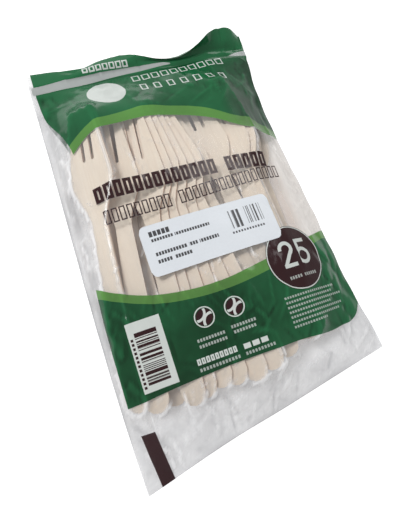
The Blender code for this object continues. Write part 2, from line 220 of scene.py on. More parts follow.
# Each fold is a ridge or valley along a line
def folds(x, y, batch):
    rng = np.random.default_rng(batch.seed)
    left, right, low, high = batch.box
    total = np.zeros(x.shape)
    for _ in range(batch.count):
        cx, cy = rng.uniform(left, right), rng.uniform(low, high)
        turn = math.radians(rng.normal(batch.angle, batch.spread))
        long, wide = rng.uniform(*batch.length), rng.uniform(*batch.width)
        tall = rng.uniform(*batch.height) * rng.choice((-1.0, 1.0))
        bend = rng.uniform(-FOLD_BEND, FOLD_BEND)
        dx, dy = x - cx, y - cy
        t = dx * math.cos(turn) + dy * math.sin(turn)
        s = -dx * math.sin(turn) + dy * math.cos(turn) + bend * t**2
        total += tall * np.exp(-np.abs(s) / wide) * np.cos(np.clip(t / long, -0.5, 0.5) * math.pi) ** 2
    return total


# Facets that meet in creases, as in film that has been crumpled
def crumple(x, y, batch):
    rng = np.random.default_rng(batch.seed)
    total = np.zeros(x.shape)
    for _ in range(batch.count):
        turn, start = rng.uniform(0, math.pi), rng.uniform()
        span, sway = rng.uniform(*batch.size), rng.uniform(*FACET_SWAY)
        across = x * math.cos(turn) + y * math.sin(turn)
        along = y * math.cos(turn) - x * math.sin(turn)
        t = across / span + start + FACET_BEND * np.sin(along / sway + 6 * start)
        total += batch.height * (np.abs(t % 1 - 0.5) * 2 - 0.5)
    return total


# Film pulled taut over what lies under it, with a little air where there is some
def relaxed(z, floor, air):
    for _ in range(RELAX_ROUNDS):
        mean = (z[:-2, 1:-1] + z[2:, 1:-1] + z[1:-1, :-2] + z[1:-1, 2:]) / 4 + air[1:-1, 1:-1]
        z[1:-1, 1:-1] = np.maximum(mean, floor[1:-1, 1:-1])
    return z


# How high the side edges and the weld lie above the table: a level, a swell or lift, and a ripple
SIDE_LEVEL = 0.5
SIDE_SWELL, SIDE_SWELL_PACE = 0.5, 9
SIDE_RIPPLE, SIDE_RIPPLE_PACE = 0.3, 3.7
WELD_LEVEL = 1.0
WELD_LIFT = 2.0
WELD_RIPPLE, WELD_RIPPLE_PACE = 0.3, 5


def side_height(y):
    swell = SIDE_SWELL * np.sin(y / SIDE_SWELL_PACE) ** 2
    return SIDE_LEVEL + swell + SIDE_RIPPLE * np.sin(y / SIDE_RIPPLE_PACE)


def weld_height(x):
    lift = WELD_LIFT * within(x, *WELD_LIFT_ACROSS)
    return WELD_LEVEL + lift + WELD_RIPPLE * np.sin(x / WELD_RIPPLE_PACE)


def wrinkles(x, y):
    slack = folds(x, y, END_FOLDS) * within(y, *END_FOLDS_ALONG)
    puckers = folds(x, y, PUCKERS)
    puckers += folds(x, y, CROSS_PUCKERS)
    over = folds(x, y, PILE_FOLDS)
    over += folds(x, y, HANDLE_FOLDS)
    over += crumple(x, y, PILE_FACETS)
    sides = np.maximum(within(x, *LOOSE_LEFT), within(x, *LOOSE_RIGHT))
    slack += crumple(x, y, LOOSE_FACETS) * np.maximum(within(y, *LOOSE_ALONG), sides)
    puckers += crumple(x, y, TOP_FACETS) * within(y, *TOP_ALONG)
    return slack + puckers + folds(x, y, LEFT_FOLDS) + folds(x, y, RIGHT_FOLDS) + over


def body_front(x, y, tops):
    edge = side_height(y)
    z = np.full(x.shape, START_HEIGHT)
    z[:, 0], z[:, -1] = edge[:, 0], edge[:, -1]
    z[0] = BOTTOM_HEIGHT
    z[-1] = weld_height(x[-1])
    floor = np.maximum(tops + WOOD_GAP, TABLE_GAP)
    z = relaxed(z, floor, AIR_LIFT * within(x, *AIR_ACROSS) * within(y, *AIR_ALONG))
    inset = np.minimum(np.minimum(x - x[:, :1], x[:, -1:] - x), np.minimum(y - y[:1], y[-1:] - y))
    z = z + wrinkles(x, y) * ease(inset / SIDE_REACH)
    return np.maximum(z, floor)


# The header: how far each column reaches past the weld, in mm, and how steeply, in degrees
FRONT_FLAP = curve(
    (-73, 1.6), (-56, 2.4), (-46, 5.5), (-36, 9), (-22, 11), (-10, 9), (0, 5.6), (8, 2.8), (20, 3.4),
    (32, 7.5), (42, 11.5), (52, 14), (62, 14), (70, 11),
)
BACK_FLAP = curve(
    (-73, 9.6), (-44, 9.6), (-20, 9.8), (-4, 7.6), (8, 3.6), (20, 4), (32, 8), (42, 12), (52, 14), (62, 14),
    (70, 11),
)
FRONT_CLIMB = curve(
    (-73, 2), (-54, 8), (-44, 24), (-34, 36), (-22, 40), (-8, 32), (2, 18), (12, 22), (28, 42), (50, 56),
    (62, 44), (70, 12),
)
BACK_CLIMB = curve((-73, 2), (-44, 3), (-20, 4), (0, 12), (12, 18), (28, 42), (50, 56), (62, 40), (70, 12))
# How far the lip folds over, in degrees, and over which share of its length it does
FOLD_TURN = curve((-73, 0), (-6, 0), (4, 60), (13, 115), (26, 112), (38, 60), (50, 0), (75, 0))
FOLD_FROM = 0.3
FOLD_OVER = 0.3
WELD_TILT = 24
WELD_TILT_ACROSS = (12, 64, 20)
# The climb at the lip's foot and what it loses to the tip, as shares, and how soon it sets in
CLIMB_FOOT = 1.15
CLIMB_LOSS = 0.5
CLIMB_PACE = 5
CLIMB_START = 0.3
LIP_GAP = 0.25
LIP_FLOOR = 0.15
LIP_WAVE_PACE = 2


def header(x, y, z, flap, climb, lift):
    rows = [(x, y, z)]
    step = STRIP_HEIGHT / STRIP_ROWS
    for i in range(STRIP_ROWS):
        tilt = np.radians(WELD_TILT) * within(x, *WELD_TILT_ACROSS)
        angle = tilt * math.sin(math.pi * (i + 0.5) / STRIP_ROWS)
        y, z = y + step * np.cos(angle), z + step * np.sin(angle)
        rows.append((x, y, z))
    length = flap(x) / FLAP_ROWS
    for i in range(FLAP_ROWS):
        share = (i + 0.5) / FLAP_ROWS
        steepness = CLIMB_FOOT - CLIMB_LOSS * share
        angle = np.radians(climb(x)) * steepness * ease(share * CLIMB_PACE + CLIMB_START)
        angle = angle + np.radians(FOLD_TURN(x)) * ease((share - FOLD_FROM) / FOLD_OVER)
        y, z = y + length * np.cos(angle), z + length * np.sin(angle)
        rows.append((x, y, z))
    xs, ys, zs = (np.array(part) for part in zip(*rows))
    share = np.arange(len(rows))[:, None] / (len(rows) - 1)
    wave = folds(xs, ys, LIP_FOLDS)
    wave += crumple(xs, ys, LIP_FACETS)
    zs = zs + lift * share + wave * ease(share * LIP_WAVE_PACE)
    return xs, ys, np.maximum(zs, LIP_FLOOR + lift)


def body_back(x, y, front, weld):
    near = np.minimum(x - x[:, :1], x[:, -1:] - x) / SIDE_REACH
    rise = (1 - ease(near)) * (front - BACK_HEIGHT) * SIDE_RISE
    rise = np.maximum(rise, (weld - BACK_HEIGHT) * ease((y - WELD_RISE_FROM) / WELD_RISE_OVER))
    back = BACK_HEIGHT + np.maximum(rise, 0.0)
    back[:, 0], back[:, -1], back[0] = front[:, 0], front[:, -1], front[0]
    return back


# The front and back sheets, each as grids of x, y and z that run from the bottom up over the header
def film_grids():
    x, y = body_plan()
    tops = heights_over(fork_tree(), finer(x), finer(y), -1.0)
    front = body_front(x, y, widened(widened(tops))[::2, ::2])
    weld = weld_height(x[-1])
    back = body_back(x, y, front, weld)
    front_lip = header(x[-1], y[-1], weld, FRONT_FLAP, FRONT_CLIMB, LIP_GAP)
    back_lip = header(x[-1], y[-1], weld - BACK_HEIGHT, BACK_FLAP, BACK_CLIMB, 0.0)
    sheets = (((x, y, front), front_lip), ((x, y, back), back_lip))
    return [[np.concatenate([a, b[1:]]) for a, b in zip(body, lip)] for body, lip in sheets]


# Each point's place in the print: as seen from above on the body, and laid flat on the header
def flat_plan(grid):
    rows = BODY_ROWS + 1
    x, y = grid[0].copy(), grid[1].copy()
    for k in range(rows, rows + STRIP_ROWS + FLAP_ROWS):
        step = [g[k] - g[k - 1] for g in grid]
        y[k] = y[k - 1] + np.sqrt(sum(s**2 for s in step))
    return x, y


def grid_points(x, y, z):
    return np.stack([x, y, z], -1).reshape(-1, 3)


def grid_faces(shape, start=0, turned=False):
    numbers = start + np.arange(shape[0] * shape[1]).reshape(shape)
    a, b, c, d = numbers[:-1, :-1], numbers[:-1, 1:], numbers[1:, 1:], numbers[1:, :-1]
    corners = (a, d, c, b) if turned else (a, b, c, d)
    return np.stack(corners, -1).reshape(-1, 4).tolist()


def linked(name, data):
    made = bpy.data.objects.new(name, data)
    bpy.context.scene.collection.objects.link(made)
    return made


# The UV square is this many mm wide, with the print's origin in its middle
UV_SPAN = 250.0


def add_uv(mesh, plan):
    layer = mesh.uv_layers.new(name="print")
    corners = np.array([loop.vertex_index for loop in mesh.loops])
    layer.data.foreach_set("uv", (plan[corners] / UV_SPAN + 0.5).astype(np.float32).ravel())


def add_field(mesh, name, values):
    layer = mesh.attributes.new(name, "FLOAT", "POINT")
    layer.data.foreach_set("value", np.asarray(values, np.float32))


def smooth_mesh(name, points, faces):
    mesh = bpy.data.meshes.new(name)
    mesh.from_pydata((points * MM).tolist(), [], faces)
    mesh.shade_smooth()
    return mesh


# How cloudy the film is: least where it lies tight on the forks. It covers more on bends, and most on
# ridges, so that its painted shade and highlight show.
HAZE = 0.38
TIGHT_CLEARER = 0.25
FLANK_CLOUDIER = 0.12
BEND_SHADING_COVER = 0.25
RIDGE_HIGHLIGHT_COVER = 0.3
TIGHT_ACROSS, TIGHT_ALONG = (-66, 50, 14), (-93, 74, 10)
FLANK_ACROSS, FLANK_ALONG = (50, 90, 10), (-34, 50, 16)
# Where the film takes a warm tone from wood, where the back lies under the pile, and the shaded flank
WARM_ACROSS, WARM_ALONG = (46, 90, 10), (-34, 50, 16)
UNDER_ACROSS, UNDER_ALONG = (-62, 58, 6), (-84, 88, 6)
SHADED_ACROSS, SHADED_ALONG = (36, 90, 14), (44, 106, 12)
BEND_GAIN = 1.6


def film_haze_and_shading(x, y, front, relief):
    tight = within(x, *TIGHT_ACROSS) * within(y, *TIGHT_ALONG)
    flank = within(x, *FLANK_ACROSS) * within(y, *FLANK_ALONG)
    haze_and_shading = HAZE - TIGHT_CLEARER * tight * front + FLANK_CLOUDIER * flank
    # More cover on bends and ridges, which carry the film's painted shade and highlight
    return haze_and_shading + BEND_SHADING_COVER * np.abs(relief) + RIDGE_HIGHLIGHT_COVER * np.maximum(relief, 0)


# How sharply the film bends at each point: above zero on ridges, below zero in valleys
def bends(grid):
    z = np.pad(smoothed(grid[2], 1), 1, mode="edge")
    around = z[:-2, 1:-1] + z[2:, 1:-1] + z[1:-1, :-2] + z[1:-1, 2:]
    return np.clip((z[1:-1, 1:-1] * 4 - around) * BEND_GAIN, -1, 1)


# What the film's shader reads: distances to the printed fields, in mm and above zero inside, and the film's
# relief, its haze with the cover of its painted shade and highlight, and zones
def film_fields(mesh, px, py, relief):
    front = np.arange(len(px)) < len(px) / 2
    above = py - BARE_LOW(px)
    add_field(mesh, "top_band", py - TOP_LIME_UPPER(px))
    add_field(mesh, "top_lime", py - TOP_LIME_LOWER(px))
    add_field(mesh, "low_band", LOW_LIME_LOWER(px) - py)
    add_field(mesh, "low_lime", LOW_LIME_UPPER(px) - py)
    add_field(mesh, "low_end", py - LOW_BAND_END(px))
    add_field(mesh, "strip", np.minimum(above, BARE_HEIGHT(px) - above))
    add_field(mesh, "inside", np.minimum(px - PRINT_LEFT(py), PRINT_RIGHT(py) - px))
    add_field(mesh, "relief", relief)
    add_field(mesh, "haze_and_shading", film_haze_and_shading(px, py, front, relief))
    add_field(mesh, "under", within(px, *UNDER_ACROSS) * within(py, *UNDER_ALONG) * ~front)
    add_field(mesh, "shaded", within(px, *SHADED_ACROSS) * within(py, *SHADED_ALONG))
    add_field(mesh, "warm", within(px, *WARM_ACROSS) * within(py, *WARM_ALONG))
    add_field(mesh, "front", front)


def film_object(grids):
    count = grids[0][0].size
    faces = grid_faces(grids[0][0].shape)
    faces += grid_faces(grids[1][0].shape, start=count, turned=True)
    mesh = smooth_mesh("bag_film", np.concatenate([grid_points(*g) for g in grids]), faces)
    plan = np.concatenate([np.stack(flat_plan(g), -1).reshape(-1, 2) for g in grids])
    relief = np.concatenate([bends(g).ravel() for g in grids])
    film_fields(mesh, *plan.T, relief)
    add_uv(mesh, plan)
    return linked("bag_film", mesh)


# A number in a shader, with plain arithmetic
class Field:
    def __init__(self, tree, socket):
        self.tree, self.socket = tree, socket

    def math(self, operation, *others):
        node = self.tree.nodes.new("ShaderNodeMath")
        node.operation = operation
        for slot, value in zip(node.inputs, (self, *others)):
            if isinstance(value, Field):
                self.tree.links.new(value.socket, slot)
            else:
                slot.default_value = value
        return Field(self.tree, node.outputs[0])

    def __add__(self, other):
        return self.math("ADD", other)

    def __sub__(self, other):
        return self.math("SUBTRACT", other)

    def __mul__(self, other):
        return self.math("MULTIPLY", other)

    def __neg__(self):
        return self.math("MULTIPLY", -1.0)

    def __abs__(self):
        return self.math("ABSOLUTE")

    def least(self, *others):
        out = self
        for other in others:
            out = out.math("MINIMUM", other)
        return out

    def most(self, *others):
        out = self
        for other in others:
            out = out.math("MAXIMUM", other)
        return out

    def held(self):
        return self.most(0.0).least(1.0)

    def mask(self, soft=0.12):
        node = self.tree.nodes.new("ShaderNodeMapRange")
        node.inputs["From Min"].default_value = -soft / 2
        node.inputs["From Max"].default_value = soft / 2
        self.tree.links.new(self.socket, node.inputs["Value"])
        return Field(self.tree, node.outputs[0])


def field_of(tree, name):
    node = tree.nodes.new("ShaderNodeAttribute")
    node.attribute_name = name
    return Field(tree, node.outputs["Fac"])


def print_place(tree):
    node = tree.nodes.new("ShaderNodeUVMap")
    node.uv_map = "print"
    split = tree.nodes.new("ShaderNodeSeparateXYZ")
    tree.links.new(node.outputs[0], split.inputs[0])
    return [(Field(tree, split.outputs[i]) - 0.5) * UV_SPAN for i in range(2)]


# Input and output numbers of the colours in a Mix node
MIX_FIRST, MIX_SECOND, MIX_RESULT = 6, 7, 2


def mixed(tree, share, first, second):
    node = tree.nodes.new("ShaderNodeMix")
    node.data_type = "RGBA"
    tree.links.new(share.socket, node.inputs["Factor"])
    for slot, colour in ((MIX_FIRST, first), (MIX_SECOND, second)):
        if isinstance(colour, tuple):
            node.inputs[slot].default_value = (*colour, 1.0)
        else:
            tree.links.new(colour, node.inputs[slot])
    return node.outputs[MIX_RESULT]


# One part of a texture coordinate: 0 is X, 1 is Y and 2 is Z
def position_of(tree, kind, part):
    place = tree.nodes.new("ShaderNodeTexCoord")
    split = tree.nodes.new("ShaderNodeSeparateXYZ")
    tree.links.new(place.outputs[kind], split.inputs[0])
    return Field(tree, split.outputs[part])


def noise(tree, scale, detail=3.0, stretch=(1, 1, 1), rough=0.5):
    place = tree.nodes.new("ShaderNodeTexCoord")
    mapping = tree.nodes.new("ShaderNodeMapping")
    mapping.inputs["Scale"].default_value = stretch
    tree.links.new(place.outputs["Object"], mapping.inputs["Vector"])
    node = tree.nodes.new("ShaderNodeTexNoise")
    node.inputs["Scale"].default_value = scale
    node.inputs["Detail"].default_value = detail
    node.inputs["Roughness"].default_value = rough
    tree.links.new(mapping.outputs[0], node.inputs["Vector"])
    return Field(tree, node.outputs[0])


def bumped(tree, shader, height, strength, distance):
    node = tree.nodes.new("ShaderNodeBump")
    node.inputs["Strength"].default_value = strength
    node.inputs["Distance"].default_value = distance
    tree.links.new(height.socket, node.inputs["Height"])
    tree.links.new(node.outputs[0], shader.inputs["Normal"])


def new_material(name):
    made = bpy.data.materials.new(name)
    made.use_nodes = True
    tree = made.node_tree
    return made, tree, tree.nodes["Principled BSDF"]


# Shapes as inside distances, in mm and above zero inside
Box = namedtuple("Box", "left right low high")


def bar(x, y, box):
    across = abs(x - (box.left + box.right) / 2) * -1.0 + (box.right - box.left) / 2
    up = abs(y - (box.low + box.high) / 2) * -1.0 + (box.high - box.low) / 2
    return across.least(up)


def disc(x, y, cx, cy, radius):
    dx, dy = x - cx, y - cy
    return (dx * dx + dy * dy).math("SQRT") * -1.0 + radius


def ring(x, y, cx, cy, radius, width):
    return abs(disc(x, y, cx, cy, radius)) * -1.0 + width / 2


def stroke(x, y, ax, ay, bx, by, width):
    ux, uy = bx - ax, by - ay
    span = ux * ux + uy * uy
    t = ((x - ax) * (ux / span) + (y - ay) * (uy / span)).held()
    dx, dy = (x - ax) - t * ux, (y - ay) - t * uy
    return (dx * dx + dy * dy).math("SQRT") * -1.0 + width / 2


def outlined(shape, width):
    return shape.least(shape * -1.0 + width)


# A coordinate shifted in step with the other one, so that a shape leans: everywhere, or past a start
def leaned(along, across, start, slope):
    return across + (along - start) * slope


def bent(along, across, start, slope):
    return across + (along - start).most(0.0) * slope


# The count of the forks, 15 mm tall: points of its strokes, from the middle of its height
DIGIT_STROKE = 2.1
TWO_LEFT = -10.0
FIVE_LEFT = 0.8


def count_digits(x, y, cx, cy):
    a, b = x - (cx + TWO_LEFT), y - cy
    two = ring(a, b, 4.7, 3.0, 3.45, DIGIT_STROKE).least((b - 2.6).most(a - 6.6))
    two = two.most(stroke(a, b, 7.4, 1.2, 1.7, -6.1, DIGIT_STROKE), bar(a, b, Box(0.6, 9.2, -7.5, -5.4)))
    c = x - (cx + FIVE_LEFT)
    five = ring(c, b, 4.6, -2.5, 3.95, DIGIT_STROKE).least(c - 1.5)
    return two.most(five, bar(c, b, Box(1.3, 8.8, 5.4, 7.5)), bar(c, b, Box(1.3, 3.4, 0.4, 7.5)))


# A line of equal blocks that stands for words: its left end, low edge and height, the pitch of its
# blocks and the gap between two, and its words, each as a count of blocks and the space after it
Line = namedtuple("Line", "left low height pitch gap words")


def blocks(x, y, line):
    local = (x - line.left).math("MODULO", line.pitch)
    block = abs(local - line.pitch / 2) * -1.0 + (line.pitch - line.gap) / 2
    block = block.least(abs(y - (line.low + line.height / 2)) * -1.0 + line.height / 2)
    start, parts = line.left, []
    for count, space in line.words:
        end = start + count * line.pitch
        parts.append(block.least((x - start), (x * -1.0 + end)))
        start = end + space * line.pitch
    return parts[0].most(*parts[1:])


# Upright bars of uneven widths, with no numbers
BARE_SHARE = 0.46


def uneven_bars(along, across, box, per_mm):
    node = along.tree.nodes.new("ShaderNodeTexWhiteNoise")
    node.noise_dimensions = "1D"
    along.tree.links.new((along * per_mm).math("FLOOR").socket, node.inputs["W"])
    stripes = Field(along.tree, node.outputs["Value"]) - BARE_SHARE
    return stripes.least(bar(along, across, box))


# The film's dark print: two lines across the pile, the disc with the count, and the mark at the end
TITLE = Line(-56.7, 19.5, 9.0, 5.36, 0.9, ((13, 1.06), (5, 0)))
TITLE_BEND = (15.0, 0.05)
TITLE_STROKE = 1.8
SUBTITLE = Line(-55.0, 6.8, 7.6, 4.1, 0.9, ((9, 1), (16, 0)))
SUBTITLE_BEND = (-15.0, -0.063)
SUBTITLE_STROKE = 0.72
MARK = Box(-68.1, -61.1, -124.5, -96.8)
MARK_LEAN = (-97.0, 0.115)
DISC_AT = (38.1, -39.0)
DISC_RADIUS = 18.4
RIM_RADIUS = 17.8
RIM_WIDTH = 0.6
COUNT_AT = (38.2, -36.4)
UNITS = Line(28.9, -50.4, 1.7, 1.6, 0.55, ((5, 1), (6, 0)))

# The pale panel with its bars and the short line beside them
PANEL = Box(-60.7, -43.2, -78.8, -44.6)
PANEL_BARS = Box(-76.2, -50.0, -57.6, -46.4)
PANEL_BARS_PER_MM = 2.3
PANEL_LINE = Line(-77.2, -59.9, 1.3, 2.1, 0.8, ((12, 0),))

# The two dark discs with pale curved strokes
SIGN_XS = (-22.0, -5.8)
SIGN_Y = -53.6
SIGN_RADIUS = 4.3
SIGN_RING_RADIUS = 5.0
SIGN_RING_WIDTH = 0.6
SWOOSH_ACROSS = 3.4
SWOOSH_UP = 3.0
SWOOSH_RADIUS = 4.2
SWOOSH_WIDTH = 1.3

# Small lines on the low band, and the note at its right end
SMALL_LINES = (
    Line(-29.4, -64.6, 1.5, 1.5, 0.5, ((10, 0),)),
    Line(-29.2, -67.6, 1.5, 1.5, 0.5, ((10, 0),)),
    Line(-11.0, -63.6, 1.5, 1.5, 0.5, ((9, 0),)),
    Line(-10.4, -66.4, 1.5, 1.5, 0.5, ((8, 0),)),
    Line(-32.4, -78.3, 1.6, 1.65, 0.6, ((13, 0),)),
    Line(-8.4, -78.2, 1.5, 1.6, 0.6, ((10, 0),)),
)
NOTE = Line(21.0, -59.6, 1.15, 1.62, 0.55, ())
NOTE_COUNTS = (22, 20, 24, 18, 23, 21, 14)
NOTE_STEP = 2.55
NOTE_LEAN = (40.0, 0.02)

# The pale print: a line and three badges on the low band, a line on the lip, and two lines and the
# oval on the top band
BAND_LINE = Line(-32.6, -75.0, 3.0, 2.35, 0.5, ((9, 0),))
BAND_STROKE = 0.75
BADGES = Line(-8.6, -75.2, 2.6, 4.6, 1.0, ((3, 0),))
LIP_LINE = Line(-41.0, 115.6, 4.4, 4.3, 0.7, ((7, 0),))
LIP_STROKE = 0.95
TOP_LINE = Line(-13.0, 100.6, 6.2, 6.5, 1.5, ((10, 0),))
TOP_LEAN = (-13.0, -0.035)
SECOND_LINE = Line(-12.0, 89.8, 6.6, 8.6, 4.2, ((7, 0),))
SECOND_LEAN = (-12.0, 0.06)
TOP_STROKE = 0.8
OVAL_AT = (-31.3, 92.9)
OVAL_RADIUS = 11.7


def dark_print(x, y):
    title = outlined(blocks(x, bent(x, y, *TITLE_BEND), TITLE), TITLE_STROKE)
    subtitle = outlined(blocks(x, bent(x, y, *SUBTITLE_BEND), SUBTITLE), SUBTITLE_STROKE)
    mark = bar(leaned(y, x, *MARK_LEAN), y, MARK)
    signs = [disc(x, y, cx, SIGN_Y, SIGN_RADIUS) for cx in SIGN_XS]
    return title.most(subtitle, mark, disc(x, y, *DISC_AT, DISC_RADIUS), *signs)


def sign_strokes(x, y, cx):
    upper = ring(x, y, cx - SWOOSH_ACROSS, SIGN_Y + SWOOSH_UP, SWOOSH_RADIUS, SWOOSH_WIDTH)
    lower = ring(x, y, cx + SWOOSH_ACROSS, SIGN_Y - SWOOSH_UP, SWOOSH_RADIUS, SWOOSH_WIDTH)
    swoosh = disc(x, y, cx, SIGN_Y, SIGN_RADIUS).least(upper.most(lower))
    return ring(x, y, cx, SIGN_Y, SIGN_RING_RADIUS, SIGN_RING_WIDTH).most(swoosh)


def pale_print(x, y):
    count = count_digits(x, y, *COUNT_AT)
    return ring(x, y, *DISC_AT, RIM_RADIUS, RIM_WIDTH).most(
        count,
        *[sign_strokes(x, y, cx) for cx in SIGN_XS],
        outlined(blocks(x, y, BAND_LINE), BAND_STROKE),
        blocks(x, y, BADGES),
        outlined(blocks(x, y, LIP_LINE), LIP_STROKE),
        outlined(blocks(x, leaned(x, y, *TOP_LEAN), TOP_LINE), TOP_STROKE),
        outlined(blocks(x, leaned(x, y, *SECOND_LEAN), SECOND_LINE), TOP_STROKE),
        disc(x, y, *OVAL_AT, OVAL_RADIUS),
    )


def faint_print(x, y):
    slanted = leaned(x, y, *NOTE_LEAN)
    lows = [NOTE.low - NOTE_STEP * i for i in range(len(NOTE_COUNTS))]
    notes = [NOTE._replace(low=low, words=((count, 0),)) for low, count in zip(lows, NOTE_COUNTS)]
    small = [blocks(x, y, line) for line in SMALL_LINES]
    return blocks(x, y, UNITS).most(*small, *[blocks(x, slanted, line) for line in notes])


def panel_stripes(x, y):
    return uneven_bars(y, x, PANEL_BARS, PANEL_BARS_PER_MM).most(blocks(y, x, PANEL_LINE))


# Colours of ink, with lit and shaded copies of green and lime, of cloudy film with its painted shade and
# highlight, of film over wood, of the back under the pile as wood in painted shade, and of the bare strip
# with its painted shade and highlight
# Shaded and lit copies of the green and lime inks, mixed by a random unevenness and by painted shade and
# highlight
GREEN_SHADED, GREEN_LIT = (0.003, 0.040, 0.013), (0.016, 0.140, 0.052)
LIME_SHADED, LIME_LIT = (0.075, 0.180, 0.045), (0.112, 0.300, 0.066)
BROWN = (0.030, 0.008, 0.010)
PALE = (0.62, 0.66, 0.63)
# Painted shade and painted highlight of the clear film
CLOUD_SHADE, CLOUD_GLINT = (0.50, 0.50, 0.52), (0.98, 0.98, 0.99)
OVER_WOOD = (0.97, 0.92, 0.87)
# The back under the pile: a stand-in for the wood beneath, painted in the warm brown of wood in shade
UNDER_WOOD_SHADE = (0.60, 0.43, 0.31)
# The bare strip's shaded and lit greys, for its painted shade and highlight
STRIP_SHADE, STRIP_GLINT = (0.30, 0.33, 0.32), (0.58, 0.61, 0.60)
OVER_WOOD_SHARE = 0.85
UNDER_WOOD_SHADE_SHARE = 0.85

# The clear film's tone: painted highlight on ridges and painted shade in valleys from its relief, and a
# random tone from a noise
CLOUD_NOISE = (38.0, 4.0)
CLOUD_UNEVEN = 0.9
CLOUD_RELIEF_SHADE = 0.5

# How light the ink is, as a random unevenness from a noise and as painted light and shade: lighter on
# ridges and darker in valleys of the relief, lighter up the bag, on the lip and at the right side of the
# low band, and darker on the shaded flank
INK_NOISE = (34.0, 3.0)
INK_UNEVEN = 1.3
INK_RELIEF = 0.6
INK_ALONG = 0.0035
INK_BASE = 0.42
INK_LIP_FROM = 108.0
INK_LIP_GAIN = 0.04
INK_LIP_MOST = 0.3
INK_SHADED = 0.5
INK_RIGHT_GAIN = 0.008
INK_LOW_PACE = -0.1

# How much each part of the film covers, and its gloss
INK_COVER = 0.98
STRIP_COVER = 0.7
STRIP_OVERHANG = 1.5
FAINT_SHARE = 0.6
CLEAR_LEAST, CLEAR_MOST = 0.04, 0.65
HAZE_UNEVEN = 0.35
FILM_ROUGHNESS = 0.13
SHADED_ROUGHER = 0.3
FILM_IOR = 1.4
# Each noise: its scale, detail and stretch; each bump: its strength and its depth in metres
HAZE_NOISE = (30.0, 4.0, (1, 0.6, 1))
FILM_BUMP_NOISE = (120.0, 3.0, (1, 0.5, 1))
FILM_BUMP = (0.3, 0.0008)


def band_masks(tree):
    inside = field_of(tree, "inside")
    in_strip = field_of(tree, "strip")
    low_end = field_of(tree, "low_end")
    top_green = field_of(tree, "top_band").least(inside, -in_strip)
    top_lime = field_of(tree, "top_lime").least(inside, -in_strip)
    low_green = field_of(tree, "low_band").least(inside, low_end)
    low_lime = field_of(tree, "low_lime").least(inside, low_end)
    strip = in_strip.least(inside + STRIP_OVERHANG)
    return top_green.most(low_green).mask(), top_lime.most(low_lime).mask(), strip.mask()


def clear_colour(tree, relief, strip):
    uneven = (noise(tree, *CLOUD_NOISE) - 0.5) * CLOUD_UNEVEN
    # Painted highlight on ridges and painted shade in valleys of the film, with a random tone
    tone = (relief * CLOUD_RELIEF_SHADE + uneven + 0.5).held()
    clear = mixed(tree, tone, CLOUD_SHADE, CLOUD_GLINT)
    clear = mixed(tree, field_of(tree, "warm") * OVER_WOOD_SHARE, clear, OVER_WOOD)
    # Under the pile the back sheet is painted as wood in shade
    clear = mixed(tree, field_of(tree, "under") * UNDER_WOOD_SHADE_SHARE, clear, UNDER_WOOD_SHADE)
    # The bare strip takes the same painted shade and highlight as the clear film
    return mixed(tree, strip, clear, mixed(tree, tone, STRIP_SHADE, STRIP_GLINT))


def ink_unevenness_and_painted_shade(tree, x, y, relief):
    uneven = (noise(tree, *INK_NOISE) - 0.5) * INK_UNEVEN
    # Painted light and shade: lighter on ridges, up the bag, on the lip and at the right of the low band,
    # darker in valleys and on the shaded flank
    tone = uneven + relief * INK_RELIEF + y * INK_ALONG + INK_BASE
    tone = tone + ((y - INK_LIP_FROM) * INK_LIP_GAIN).most(0.0).least(INK_LIP_MOST)
    tone = tone - field_of(tree, "shaded") * INK_SHADED
    return (tone + (x * INK_RIGHT_GAIN * (y * INK_LOW_PACE).held()).most(0.0)).held()


def film_material():
    made, tree, shader = new_material("printed_film")
    x, y = print_place(tree)
    green, lime, strip = band_masks(tree)
    relief = field_of(tree, "relief")
    shapes = (dark_print(x, y), pale_print(x, y), faint_print(x, y), bar(x, y, PANEL), panel_stripes(x, y))
    dark, pale, faint, panel, stripes = (shape.mask() * field_of(tree, "front") for shape in shapes)
    tone = ink_unevenness_and_painted_shade(tree, x, y, relief)
    colour = clear_colour(tree, relief, strip)
    colour = mixed(tree, lime, colour, mixed(tree, tone, LIME_SHADED, LIME_LIT))
    colour = mixed(tree, green, colour, mixed(tree, tone, GREEN_SHADED, GREEN_LIT))
    colour = mixed(tree, panel, colour, PALE)
    colour = mixed(tree, dark.most(panel * stripes), colour, BROWN)
    colour = mixed(tree, faint * FAINT_SHARE, colour, PALE)
    colour = mixed(tree, pale, colour, PALE)
    tree.links.new(colour, shader.inputs["Base Color"])
    # Haze, with more cover where the film's painted shade and highlight lie
    cloud = (noise(tree, *HAZE_NOISE) - 0.5) * HAZE_UNEVEN + field_of(tree, "haze_and_shading")
    ink = lime.most(green, dark, panel, pale) * INK_COVER
    alpha = ink.most(strip * STRIP_COVER, cloud.most(CLEAR_LEAST).least(CLEAR_MOST))
    tree.links.new(alpha.socket, shader.inputs["Alpha"])
    roughness = field_of(tree, "shaded") * SHADED_ROUGHER + FILM_ROUGHNESS
    tree.links.new(roughness.socket, shader.inputs["Roughness"])
    shader.inputs["IOR"].default_value = FILM_IOR
    bumped(tree, shader, noise(tree, *FILM_BUMP_NOISE), *FILM_BUMP)
    return made


# Birch: pale faces with fine grain along the fork, darker and browner further down the bag, and sides and
# undersides painted warm brown as shade between the forks
BIRCH_DARK, BIRCH_LIGHT = (0.80, 0.70, 0.57), (0.90, 0.835, 0.735)
GRAIN_COLOUR = (0.70, 0.56, 0.42)
# The colour the birch takes further down the bag
DOWNWARD_COLOUR = (0.66, 0.56, 0.455)
